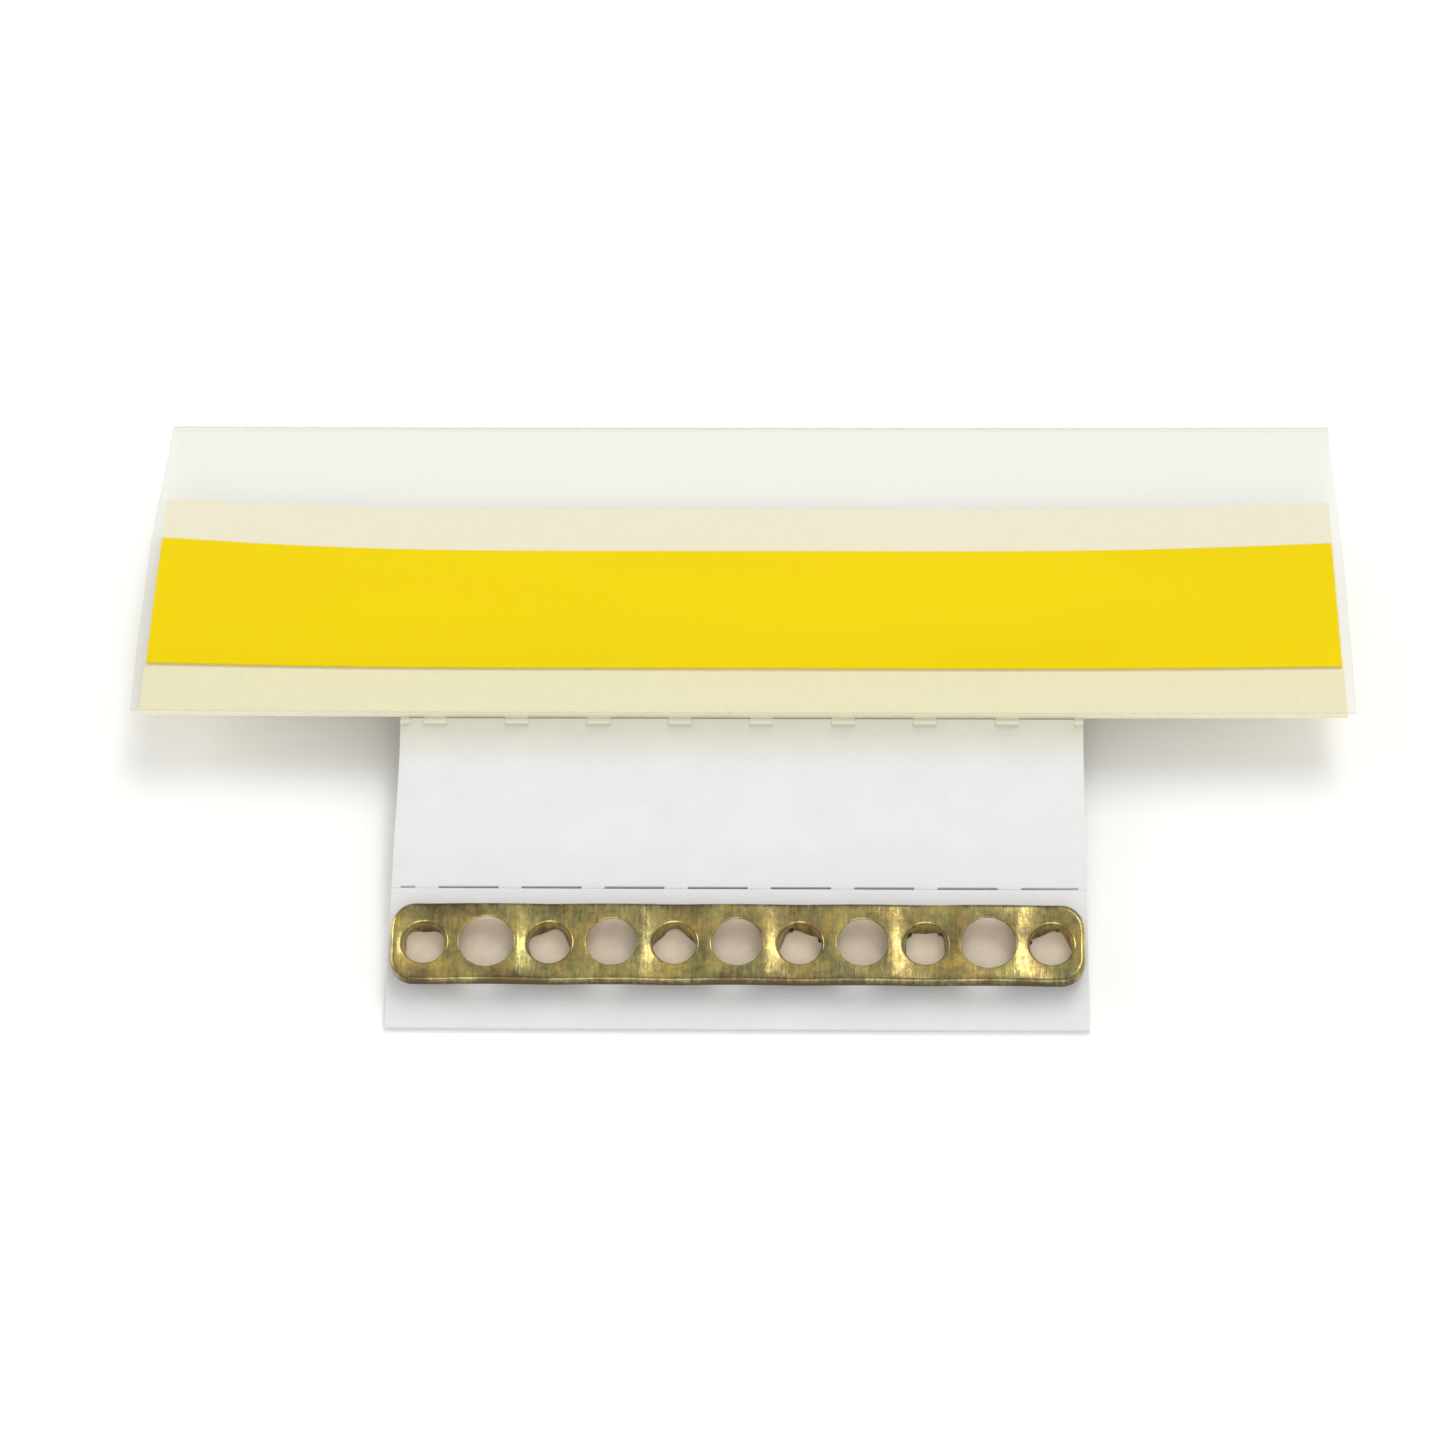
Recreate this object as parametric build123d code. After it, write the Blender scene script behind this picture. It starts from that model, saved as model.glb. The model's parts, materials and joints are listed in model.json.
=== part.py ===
from build123d import *
import math
import os

# A splice for 8 mm carrier tape. A three-layer sheet (clear film, yellow splicing film, cream release
# liner) has a paper tab bonded under its front edge. The tab has two perforations, and a stamped brass
# clip stands on the strip in front of the second one. The paper remembers its crease, so the sheet and the
# tab lean on each other as a low ridge: the clear film's rear edge and the tab's front edge touch the table.
# Millimetres, +X along the clip, +Y to the rear, +Z up, origin at the centre of the base.

# ---- Sheet: outlines ----
SHEET_WIDTH = 40.2
SHEET_SETBACK = 0.15
YELLOW_SETBACK = 2.2
YELLOW_WIDTH = 5.6
YELLOW_SIDE_MARGIN = 0.34
LINER_REAR_MARGIN = 2.2
LINER_SIDE_MARGIN = 0.28
FILM_REAR_MARGIN = 4.2
ROOT_DEPTH = 2.0
BOND_REAR_MARGIN = 0.1
DRAPE_RUN = 0.35

# ---- Sheet: layer thicknesses ----
LINER_THICK = 0.10
BOND_THICK = 0.08
ADHESIVE_THICK = 0.05
YELLOW_THICK = 0.06
FILM_THICK = 0.08

# ---- Paper tab ----
PAPER_THICK = 0.15
TAB_SIDE_MARGIN = 0.2
STRIP_FOLD = 6.0
STRIP_FRONT_MARGIN = 1.33
RIDGE_HEIGHT = 1.8

# ---- Perforations: cuts between ties that carry the fold ----
TIE_WIDTH = 0.75
TIE_PITCH = 2.68
TIE_OFFSET = 0.67
EDGE_TIE = 0.3
TIE_NECK = 0.03
FOLD_CLEARANCE = 0.015

# ---- Brass clip ----
CLIP_WIDTH = 2.75
CLIP_END = 1.0
CLIP_THICK = 0.15
CLIP_CORNER = 0.9
CLIP_FROM_FOLD = 0.92
RIM_DROP = 0.32
RIM_RADIUS = 0.26
SPROCKET_PITCH = 4.0
EYELET_COUNT = 6
EYELET_OUTER = 1.5
EYELET_BORE = 1.2
EYELET_HEIGHT = 0.7
MOUTH_RADIUS = 0.12
PETAL_SLIT = 0.3
PETAL_LENGTH = 0.3
PETAL_TURN = 23.0
PLAIN_HOLE = 1.63
PILOT_HOLE = 1.75
CLIP_ADHESIVE_THICK = 0.05
CLIP_ADHESIVE_MARGIN = 0.25

# ---- Outlines that follow from the dimensions above ----
YELLOW_REAR = YELLOW_SETBACK + YELLOW_WIDTH
LINER_DEPTH = YELLOW_REAR + LINER_REAR_MARGIN
FILM_DEPTH = LINER_DEPTH + FILM_REAR_MARGIN
LINER_WIDTH = SHEET_WIDTH - 2 * LINER_SIDE_MARGIN
STRIP_WIDTH = SHEET_WIDTH - 2 * YELLOW_SIDE_MARGIN
BOND_DEPTH = ROOT_DEPTH + BOND_REAR_MARGIN
CLIP_LENGTH = SPROCKET_PITCH * (EYELET_COUNT - 1) + 2 * CLIP_END
TAB_WIDTH = CLIP_LENGTH + 2 * TAB_SIDE_MARGIN
TAB_LENGTH = STRIP_FOLD + CLIP_FROM_FOLD + CLIP_WIDTH + STRIP_FRONT_MARGIN
CLIP_MIDDLE = STRIP_FOLD + CLIP_FROM_FOLD + CLIP_WIDTH / 2
FOLD_GAP = PAPER_THICK / 2 + FOLD_CLEARANCE

# ---- Heights in a panel's own frame, measured from the middle of the paper ----
PAPER_TOP = PAPER_THICK / 2
BOND_TOP = PAPER_TOP + BOND_THICK
LINER_TOP = BOND_TOP + LINER_THICK
ADHESIVE_TOP = LINER_TOP + ADHESIVE_THICK
YELLOW_TOP = ADHESIVE_TOP + YELLOW_THICK
CLIP_SEAT = PAPER_TOP + CLIP_ADHESIVE_THICK
CLIP_TOP = CLIP_SEAT + EYELET_HEIGHT


def lean(height, run, drop):
    """Angle that lowers a corner by height, when it lies run along a panel and drop below its middle."""
    reach = math.hypot(run, drop)
    return math.degrees(math.asin(height / reach) - math.atan2(drop, run))


TAB_LEAN = lean(RIDGE_HEIGHT, TAB_LENGTH, PAPER_THICK / 2)
SHEET_LEAN = lean(RIDGE_HEIGHT, FILM_DEPTH, -BOND_TOP)


def block(width, y_low, y_high, z_low, z_high, x_middle=0.0):
    """A box that is centred on x_middle and spans the given y and z."""
    middle = Pos(x_middle, (y_low + y_high) / 2, (z_low + z_high) / 2)
    return middle * Box(width, y_high - y_low, z_high - z_low)


def tie_spans():
    """The (low, high) x of every tie across the tab, the two narrow edge ties included."""
    edge = TAB_WIDTH / 2
    spans = [(-edge, -edge + EDGE_TIE), (edge - EDGE_TIE, edge)]
    reach = math.ceil(edge / TIE_PITCH) + 1
    for step in range(-reach, reach + 1):
        middle = TIE_OFFSET + step * TIE_PITCH
        low = max(middle - TIE_WIDTH / 2, -edge)
        high = min(middle + TIE_WIDTH / 2, edge)
        if high - low > EDGE_TIE:
            spans.append((low, high))
    return spans


def ties(y_fold):
    """Tie tongues that reach forward to a fold line and end in a half round on its axis."""
    tongues = []
    for low, high in tie_spans():
        neck = block(high - low, y_fold, y_fold + 2 * TIE_NECK, -PAPER_TOP, PAPER_TOP, (low + high) / 2)
        nose = Pos((low + high) / 2, y_fold, 0) * Rot(0, 90, 0) * Cylinder(PAPER_THICK / 2, high - low)
        tongues.append(neck + nose)
    return tongues


def join(solid, others):
    """One solid from a base and whatever touches it."""
    for other in others:
        solid = solid + other
    return solid


def draped(width, bottom_line, thickness):
    """A sheet of one thickness over a bottom line of (y, z) points, extruded across the width."""
    top_line = [(y, z + thickness) for y, z in reversed(bottom_line)]
    outline = Polyline(*(bottom_line + top_line), close=True)
    section = Plane.YZ * make_face(outline)
    return extrude(section, amount=width / 2, both=True)


def tab_root():
    """The paper that is bonded under the sheet, up to the first perforation."""
    slab = block(TAB_WIDTH, TIE_NECK, ROOT_DEPTH, -PAPER_TOP, PAPER_TOP)
    return join(slab, ties(0.0))


def tab_panel():
    """The tab between its two perforations."""
    slab = block(TAB_WIDTH, -STRIP_FOLD + TIE_NECK, -FOLD_GAP, -PAPER_TOP, PAPER_TOP)
    return join(slab, ties(-STRIP_FOLD))


def clip_strip():
    """The strip in front of the second perforation, which carries the clip."""
    return block(TAB_WIDTH, -TAB_LENGTH, -STRIP_FOLD - FOLD_GAP, -PAPER_TOP, PAPER_TOP)


def clip_adhesive():
    """The low-tack patch between the strip and the clip's petals."""
    length = CLIP_LENGTH - 2 * CLIP_ADHESIVE_MARGIN
    width = CLIP_WIDTH - 2 * CLIP_ADHESIVE_MARGIN
    outline = RectangleRounded(length, width, CLIP_CORNER - CLIP_ADHESIVE_MARGIN)
    return Pos(0, -CLIP_MIDDLE, PAPER_TOP) * extrude(outline, amount=CLIP_ADHESIVE_THICK)


def liner():
    """The cream release liner."""
    return block(LINER_WIDTH, SHEET_SETBACK, LINER_DEPTH, BOND_TOP, LINER_TOP)


def bond_tape():
    """Double-sided tape along the liner's front edge, over the root of the tab."""
    return block(LINER_WIDTH, SHEET_SETBACK, BOND_DEPTH, PAPER_TOP, BOND_TOP)


def splice_adhesive():
    """The adhesive under the yellow film."""
    return block(STRIP_WIDTH, YELLOW_SETBACK, YELLOW_REAR, LINER_TOP, ADHESIVE_TOP)


def yellow_film():
    """The yellow splicing film, as wide as the cover tape that it joins."""
    return block(STRIP_WIDTH, YELLOW_SETBACK, YELLOW_REAR, ADHESIVE_TOP, YELLOW_TOP)


def clear_film():
    """The clear film, which follows the steps of the strip and the liner below it."""
    line = [
        (SHEET_SETBACK, LINER_TOP),
        (YELLOW_SETBACK - DRAPE_RUN, LINER_TOP),
        (YELLOW_SETBACK, YELLOW_TOP),
        (YELLOW_REAR, YELLOW_TOP),
        (YELLOW_REAR + DRAPE_RUN, LINER_TOP),
        (LINER_DEPTH, LINER_TOP),
        (LINER_DEPTH + DRAPE_RUN, BOND_TOP),
        (FILM_DEPTH, BOND_TOP),
    ]
    return draped(SHEET_WIDTH, line, FILM_THICK)


def clip_outline(inset):
    """The clip's rounded outline, inset all round."""
    return RectangleRounded(CLIP_LENGTH - 2 * inset, CLIP_WIDTH - 2 * inset, CLIP_CORNER - inset)


def rounded_slab(inset, height, radius):
    """A slab of the clip's outline with its base at z = 0 and its top edge rounded."""
    slab = extrude(clip_outline(inset), amount=height)
    return fillet(slab.faces().sort_by(Axis.Z)[-1].edges(), radius)


def eyelet_places():
    """The x of every eyelet, on the sprocket pitch."""
    first = -SPROCKET_PITCH * (EYELET_COUNT - 1) / 2
    return [first + SPROCKET_PITCH * index for index in range(EYELET_COUNT)]


def plain_places():
    """The x of every plain hole, half way between two eyelets."""
    return [x + SPROCKET_PITCH / 2 for x in eyelet_places()[:-1]]


def pilot_places():
    """The x of the two larger holes, the outermost plain ones."""
    return [plain_places()[0], plain_places()[-1]]


def barrel(turn):
    """One eyelet's wall: a tube that ends in four petals, with its foot at z = 0."""
    tube = Pos(0, 0, EYELET_HEIGHT / 2) * Cylinder(EYELET_OUTER / 2, EYELET_HEIGHT)
    wedge = Polyline((-PETAL_SLIT / 2, 0), (PETAL_SLIT / 2, 0), (0, PETAL_LENGTH), close=True)
    notch = extrude(Plane.XZ * make_face(wedge), amount=EYELET_OUTER, both=True)
    tube = tube - Rot(0, 0, turn) * notch
    return tube - Rot(0, 0, turn + 90) * notch


def mouth(bore_radius, round_radius):
    """What the rounded mouth of a bore takes out of a plate whose top is at z = 0."""
    flare_radius = bore_radius + round_radius
    disc = Pos(0, 0, -round_radius / 2) * Cylinder(flare_radius, round_radius)
    return disc - Pos(0, 0, -round_radius) * Torus(flare_radius, round_radius)


def brass_clip():
    """The stamped clip: a plate with a rolled rim, six pierced eyelets and five plain holes."""
    rim_foot = EYELET_HEIGHT - RIM_DROP
    body = Pos(0, 0, rim_foot) * rounded_slab(0.0, RIM_DROP, RIM_RADIUS)
    hollow = rounded_slab(CLIP_THICK, RIM_DROP - CLIP_THICK, RIM_RADIUS - CLIP_THICK)
    body = body - Pos(0, 0, rim_foot) * hollow
    for index, x in enumerate(eyelet_places()):
        body = body + Pos(x, 0, 0) * barrel(PETAL_TURN * index)
    through = Cylinder(EYELET_BORE / 2, 4 * EYELET_HEIGHT)
    for x in eyelet_places():
        body = body - Pos(x, 0, 0) * through
        body = body - Pos(x, 0, EYELET_HEIGHT) * mouth(EYELET_BORE / 2, MOUTH_RADIUS)
    for x in plain_places():
        hole = PILOT_HOLE if x in pilot_places() else PLAIN_HOLE
        body = body - Pos(x, 0, 0) * Cylinder(hole / 2, 4 * EYELET_HEIGHT)
    return Pos(0, -CLIP_MIDDLE, CLIP_SEAT) * body


ON_SHEET = Rot(-SHEET_LEAN, 0, 0)
ON_TAB = Rot(TAB_LEAN, 0, 0)

PANEL_PIECES = {
    "clear_film": ON_SHEET * clear_film(),
    "yellow_splice_film": ON_SHEET * yellow_film(),
    "splice_adhesive": ON_SHEET * splice_adhesive(),
    "release_liner": ON_SHEET * liner(),
    "bond_tape": ON_SHEET * bond_tape(),
    "tab_root_paper": ON_SHEET * tab_root(),
    "tab_paper": ON_TAB * tab_panel(),
    "clip_strip_paper": ON_TAB * clip_strip(),
    "clip_adhesive": ON_TAB * clip_adhesive(),
    "brass_clip": ON_TAB * brass_clip(),
}

# The ridge is moved so that the origin is at the centre of the base, on the table.
boxes = [piece.bounding_box() for piece in PANEL_PIECES.values()]
FRONT = min(box.min.Y for box in boxes)
REAR = max(box.max.Y for box in boxes)
FOOT = min(box.min.Z for box in boxes)
TO_BASE = Pos(0, -(FRONT + REAR) / 2, -FOOT)

os.makedirs("parts", exist_ok=True)
for name, piece in PANEL_PIECES.items():
    export_step(TO_BASE * piece, f"parts/{name}.step")
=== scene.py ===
"""Looks of a carrier tape splice: a film and liner sheet, a perforated paper tab and a stamped brass clip.

Each piece is modelled flat in the frame of its own panel, where the fold line is the X axis and the paper's
middle is z = 0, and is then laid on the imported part. Lengths in the classes are millimetres and angles are
degrees, unless a class says otherwise.
"""

import json
import logging
import math
from collections.abc import Callable, Iterator
from contextlib import contextmanager
from dataclasses import dataclass
from enum import Enum

import bmesh
import bpy
from mathutils import Matrix, Vector


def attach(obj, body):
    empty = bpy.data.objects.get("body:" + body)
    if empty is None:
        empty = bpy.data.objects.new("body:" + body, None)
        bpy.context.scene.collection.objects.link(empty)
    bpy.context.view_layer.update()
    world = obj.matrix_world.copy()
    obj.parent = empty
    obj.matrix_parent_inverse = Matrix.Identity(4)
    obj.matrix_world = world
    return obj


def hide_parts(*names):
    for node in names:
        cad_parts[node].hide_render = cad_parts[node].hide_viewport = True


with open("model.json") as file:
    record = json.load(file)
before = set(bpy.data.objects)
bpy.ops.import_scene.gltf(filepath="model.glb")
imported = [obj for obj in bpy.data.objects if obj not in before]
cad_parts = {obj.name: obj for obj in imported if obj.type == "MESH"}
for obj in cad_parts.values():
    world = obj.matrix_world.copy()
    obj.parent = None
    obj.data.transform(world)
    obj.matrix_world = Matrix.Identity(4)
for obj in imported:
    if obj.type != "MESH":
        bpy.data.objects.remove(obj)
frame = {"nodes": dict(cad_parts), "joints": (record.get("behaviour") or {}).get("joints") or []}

LOG = logging.getLogger("splice")
MM = 0.001
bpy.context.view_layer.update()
TOUCH = 0.004 * MM
HAIRLINE = 0.006
FACING = 0.9
Line = list[tuple[float, float]]


class Panel(Enum):
    """The two flat panels of the splice, each with the joint whose slide stands square on it."""

    SHEET = "film_lift"
    TAB = "clip_lift"


def joint(name: str) -> dict:
    """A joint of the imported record, by name."""
    return next(entry for entry in frame["joints"] if entry["name"] == name)


def panel_matrix(panel: Panel) -> Matrix:
    """Where a panel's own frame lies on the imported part.

    Args:
        panel: The sheet or the tab.

    Returns:
        The matrix from the panel's frame to the part's.
    """
    normal = Vector(joint(panel.value)["axis"])
    lean = math.atan2(-normal.y, normal.z)
    return Matrix.Translation(joint("tab_fold")["pos_m"]) @ Matrix.Rotation(lean, 4, "X")


# ---------------------------------------------------------------- colours, nodes and patterns


def linear(code: str) -> tuple[float, float, float, float]:
    """Turns an sRGB hex colour to linear.

    Args:
        code: Six hex digits, such as "F6D90F".

    Returns:
        Linear red, green, blue and an alpha of 1.
    """
    parts = [int(code[start:start + 2], 16) / 255 for start in (0, 2, 4)]
    red, green, blue = (p / 12.92 if p <= 0.04045 else ((p + 0.055) / 1.055) ** 2.4 for p in parts)
    return red, green, blue, 1.0


def add(tree: bpy.types.NodeTree, kind: str, inputs: dict | None = None,
        stops: list[tuple[float, str]] | None = None, **settings: object) -> bpy.types.Node:
    """Adds one node with its settings and links.

    Args:
        tree: The material's node tree.
        kind: The node's type, such as "ShaderNodeBump".
        inputs: Values or output sockets, by the input's name or index.
        stops: A colour ramp's places from 0 to 1 with their hex colours.
        **settings: The node's own properties.

    Returns:
        The new node.
    """
    node = tree.nodes.new(kind)
    for name, value in settings.items():
        setattr(node, name, value)
    for name, value in (inputs or {}).items():
        if isinstance(value, bpy.types.NodeSocket):
            tree.links.new(value, node.inputs[name])
        else:
            node.inputs[name].default_value = value
    if stops:
        elements = node.color_ramp.elements
        while len(elements) < len(stops):
            elements.new(0.5)
        for element, (place, code) in zip(elements, stops):
            element.position = place
            element.color = linear(code)
    return node


def span(value: bpy.types.NodeSocket, start: float, end: float, low: float, high: float) -> dict:
    """The inputs that map a value from start..end to low..high."""
    return {"Value": value, "From Min": start, "From Max": end, "To Min": low, "To Max": high}


def coordinates(tree: bpy.types.NodeTree, stretch: tuple[float, float, float] = (1, 1, 1),
                turn: float = 0.0) -> bpy.types.NodeSocket:
    """Object coordinates, turned about X to lie along a panel and stretched.

    Args:
        tree: The material's node tree.
        stretch: The scale along each axis.
        turn: The panel's lean in radians.

    Returns:
        The vector socket.
    """
    place = add(tree, "ShaderNodeTexCoord").outputs["Object"]
    mapping = add(tree, "ShaderNodeMapping", {"Vector": place, "Rotation": (turn, 0, 0), "Scale": stretch})
    return mapping.outputs["Vector"]


@dataclass(frozen=True)
class Pattern:
    """An irregular pattern whose largest features have a real size, with finer octaves on it.

    A stretch below 1 along an axis draws the features out along it. The depth is how far they stand out.
    """

    size: float
    detail: float = 3.0
    rough: float = 0.5
    stretch: tuple[float, float, float] = (1, 1, 1)
    depth: float = 0.0

    def value(self, tree: bpy.types.NodeTree, turn: float = 0.0) -> bpy.types.NodeSocket:
        """Adds the pattern to a material.

        Args:
            tree: The material's node tree.
            turn: The lean in radians of the panel that it lies along.

        Returns:
            Its value, from 0 to 1.
        """
        inputs = {"Vector": coordinates(tree, self.stretch, turn), "Scale": 1.0 / (self.size * MM),
                  "Detail": self.detail, "Roughness": self.rough}
        return add(tree, "ShaderNodeTexNoise", inputs).outputs["Fac"]


def relief(tree: bpy.types.NodeTree, *layers: tuple[bpy.types.NodeSocket, float]) -> bpy.types.NodeSocket:
    """Lays patterns over one another in relief.

    Args:
        tree: The material's node tree.
        *layers: Each pattern's value with its depth, from the lowest up.

    Returns:
        The normal socket.
    """
    inputs = {}
    for height, depth in layers:
        inputs |= {"Height": height, "Distance": depth * MM, "Strength": 1.0}
        inputs["Normal"] = add(tree, "ShaderNodeBump", inputs).outputs["Normal"]
    return inputs["Normal"]


# ---------------------------------------------------------------- finishes


@dataclass(frozen=True)
class Finish:
    """A surface finish, which is built as one node material and named for the real one."""

    name: str

    def look(self, tree: bpy.types.NodeTree) -> dict:
        """The inputs of the surface's shader, which each finish works out for itself."""
        raise NotImplementedError

    def material(self) -> bpy.types.Material:
        """Builds the finish.

        Returns:
            Its material.
        """
        made = bpy.data.materials.new(self.name)
        made.use_nodes = True
        tree = made.node_tree
        tree.nodes.clear()
        shader = add(tree, "ShaderNodeBsdfPrincipled", self.look(tree))
        add(tree, "ShaderNodeOutputMaterial", {"Surface": shader.outputs["BSDF"]})
        return made


@dataclass(frozen=True)
class PolyesterFilm(Finish):
    """Clear polyester film, drawn and calendered: it hides little of what is under it and warms it a shade.

    Faint calender lines run along the web, and long ripples across it break up its reflections.
    """

    name: str = "clear_polyester_film"
    warm: str = "8A8424"
    cool: str = "7C8126"
    hiding: float = 0.06
    rough: float = 0.15
    refraction: float = 1.6
    lines: Pattern = Pattern(0.5, 4, stretch=(0.02, 1, 1), depth=0.002)
    ripples: Pattern = Pattern(6.0, 1, stretch=(0.5, 1, 1), depth=0.05)

    def look(self, tree: bpy.types.NodeTree) -> dict:
        """Works out the film's shader.

        Args:
            tree: The material's node tree.

        Returns:
            Values and sockets by the shader's inputs.
        """
        lines, ripples = self.lines.value(tree), self.ripples.value(tree)
        colour = add(tree, "ShaderNodeValToRGB", {"Fac": ripples}, [(0.35, self.cool), (0.65, self.warm)])
        return {"Base Color": colour.outputs["Color"], "Roughness": self.rough, "IOR": self.refraction,
                "Alpha": self.hiding,
                "Normal": relief(tree, (ripples, self.ripples.depth), (lines, self.lines.depth))}


@dataclass(frozen=True)
class FilmEdge(Finish):
    """The slit edge of a clear film, where light leaves it greyer than its faces."""

    name: str = "slit_film_edge"
    grey: str = "DADBCD"
    pale: str = "E4E5DC"
    hiding: float = 0.65
    rough: float = 0.35
    nicks: Pattern = Pattern(0.12, 2, depth=0.01)

    def look(self, tree: bpy.types.NodeTree) -> dict:
        """Works out the edge's shader.

        Args:
            tree: The material's node tree.

        Returns:
            Values and sockets by the shader's inputs.
        """
        nicks = self.nicks.value(tree)
        colour = add(tree, "ShaderNodeValToRGB", {"Fac": nicks}, [(0.3, self.grey), (0.7, self.pale)])
        return {"Base Color": colour.outputs["Color"], "Roughness": self.rough, "Alpha": self.hiding,
                "Normal": relief(tree, (nicks, self.nicks.depth))}


@dataclass(frozen=True)
class PrintedFilm(Finish):
    """Dyed polyester splicing film: a strong even colour with a satin face and faint lines along the web."""

    name: str = "yellow_polyester_film"
    light: str = "FCDF02"
    dark: str = "F9DA01"
    shine: float = 0.03
    smooth: float = 0.36
    rough: float = 0.48
    cloud: Pattern = Pattern(5.0, 2, stretch=(0.3, 1, 1))
    lines: Pattern = Pattern(0.4, 4, stretch=(0.02, 1, 1), depth=0.002)

    def look(self, tree: bpy.types.NodeTree) -> dict:
        """Works out the film's shader.

        Args:
            tree: The material's node tree.

        Returns:
            Values and sockets by the shader's inputs.
        """
        cloud, lines = self.cloud.value(tree), self.lines.value(tree)
        colour = add(tree, "ShaderNodeValToRGB", {"Fac": cloud}, [(0.35, self.dark), (0.65, self.light)])
        rough = add(tree, "ShaderNodeMapRange", span(lines, 0.3, 0.7, self.smooth, self.rough))
        return {"Base Color": colour.outputs["Color"], "Roughness": rough.outputs["Result"],
                "Specular IOR Level": self.shine, "Normal": relief(tree, (lines, self.lines.depth))}


@dataclass(frozen=True)
class ReleasePaper(Finish):
    """Siliconised glassine liner: smooth, cream, a little waxy, and warmer where tape is bonded under it.

    The tape's far edge is at backed_to along the panel, in metres, and the lean is in radians.
    """

    plain: str
    backed: str
    backed_to: float
    lean: float
    blur: float = 0.12
    rough: float = 0.42
    shades: tuple[float, float] = (0.97, 1.02)
    grain: Pattern = Pattern(0.18, 5, 0.6, depth=0.004)
    lines: Pattern = Pattern(0.35, 4, stretch=(0.03, 1, 1), depth=0.003)

    def look(self, tree: bpy.types.NodeTree) -> dict:
        """Works out the liner's shader.

        Args:
            tree: The material's node tree.

        Returns:
            Values and sockets by the shader's inputs.
        """
        grain, lines = self.grain.value(tree, self.lean), self.lines.value(tree)
        along = add(tree, "ShaderNodeSeparateXYZ", {"Vector": coordinates(tree, turn=self.lean)}).outputs["Y"]
        blur = self.blur * MM
        share = add(tree, "ShaderNodeMapRange",
                    span(along, self.backed_to - blur, self.backed_to + blur, 1.0, 0.0)).outputs["Result"]
        mix = add(tree, "ShaderNodeMix", {0: share, 6: linear(self.plain), 7: linear(self.backed)},
                  data_type="RGBA").outputs[2]
        shade = add(tree, "ShaderNodeMapRange", span(grain, 0.3, 0.7, *self.shades)).outputs["Result"]
        colour = add(tree, "ShaderNodeVectorMath", {0: mix, "Scale": shade}, operation="SCALE")
        return {"Base Color": colour.outputs["Vector"], "Roughness": self.rough,
                "Normal": relief(tree, (grain, self.grain.depth), (lines, self.lines.depth))}


@dataclass(frozen=True)
class UncoatedPaper(Finish):
    """Uncoated white paper: matt, with short fibres and a soft cloudy formation.

    A cream painted shadow of the sheet's edge is multiplied into it, full at the fold and fading out in
    front.
    The fold is a place along Y in metres.
    """

    light: str
    dark: str
    # The colour of the painted shadow under the sheet's edge, and how far in front of the fold it fades out.
    painted_shadow: str
    fold: float
    shadow_reach: float = 1.5
    rough: float = 0.85
    cloud: Pattern = Pattern(1.6, 4, 0.6)
    fibre: Pattern = Pattern(0.09, 4, 0.65, stretch=(0.35, 1, 1), depth=0.012)

    def look(self, tree: bpy.types.NodeTree) -> dict:
        """Works out the paper's shader.

        Args:
            tree: The material's node tree.

        Returns:
            Values and sockets by the shader's inputs.
        """
        cloud, fibre = self.cloud.value(tree), self.fibre.value(tree)
        colour = add(tree, "ShaderNodeValToRGB", {"Fac": cloud}, [(0.3, self.dark), (0.7, self.light)])
        along = add(tree, "ShaderNodeSeparateXYZ", {"Vector": coordinates(tree)}).outputs["Y"]
        # Painted shadow: the paper is multiplied by a cream shade, full at the fold and fading out in front
        # of it.
        share = add(tree, "ShaderNodeMapRange", span(along, self.fold - self.shadow_reach * MM, self.fold, 0.0, 1.0))
        mix = add(tree, "ShaderNodeMix",
                  {0: share.outputs["Result"], 6: colour.outputs["Color"], 7: linear(self.painted_shadow)},
                  data_type="RGBA", blend_type="MULTIPLY")
        return {"Base Color": mix.outputs[2], "Roughness": self.rough,
                "Normal": relief(tree, (fibre, self.fibre.depth))}


@dataclass(frozen=True)
class Adhesive(Finish):
    """Acrylic pressure-sensitive adhesive: warm, slightly wet, with the orange peel of a coated film."""

    light: str
    dark: str
    rough: float = 0.5
    peel: Pattern = Pattern(0.35, 3, depth=0.02)

    def look(self, tree: bpy.types.NodeTree) -> dict:
        """Works out the adhesive's shader.

        Args:
            tree: The material's node tree.

        Returns:
            Values and sockets by the shader's inputs.
        """
        peel = self.peel.value(tree)
        colour = add(tree, "ShaderNodeValToRGB", {"Fac": peel}, [(0.3, self.dark), (0.7, self.light)])
        return {"Base Color": colour.outputs["Color"], "Roughness": self.rough,
                "Normal": relief(tree, (peel, self.peel.depth))}


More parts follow.
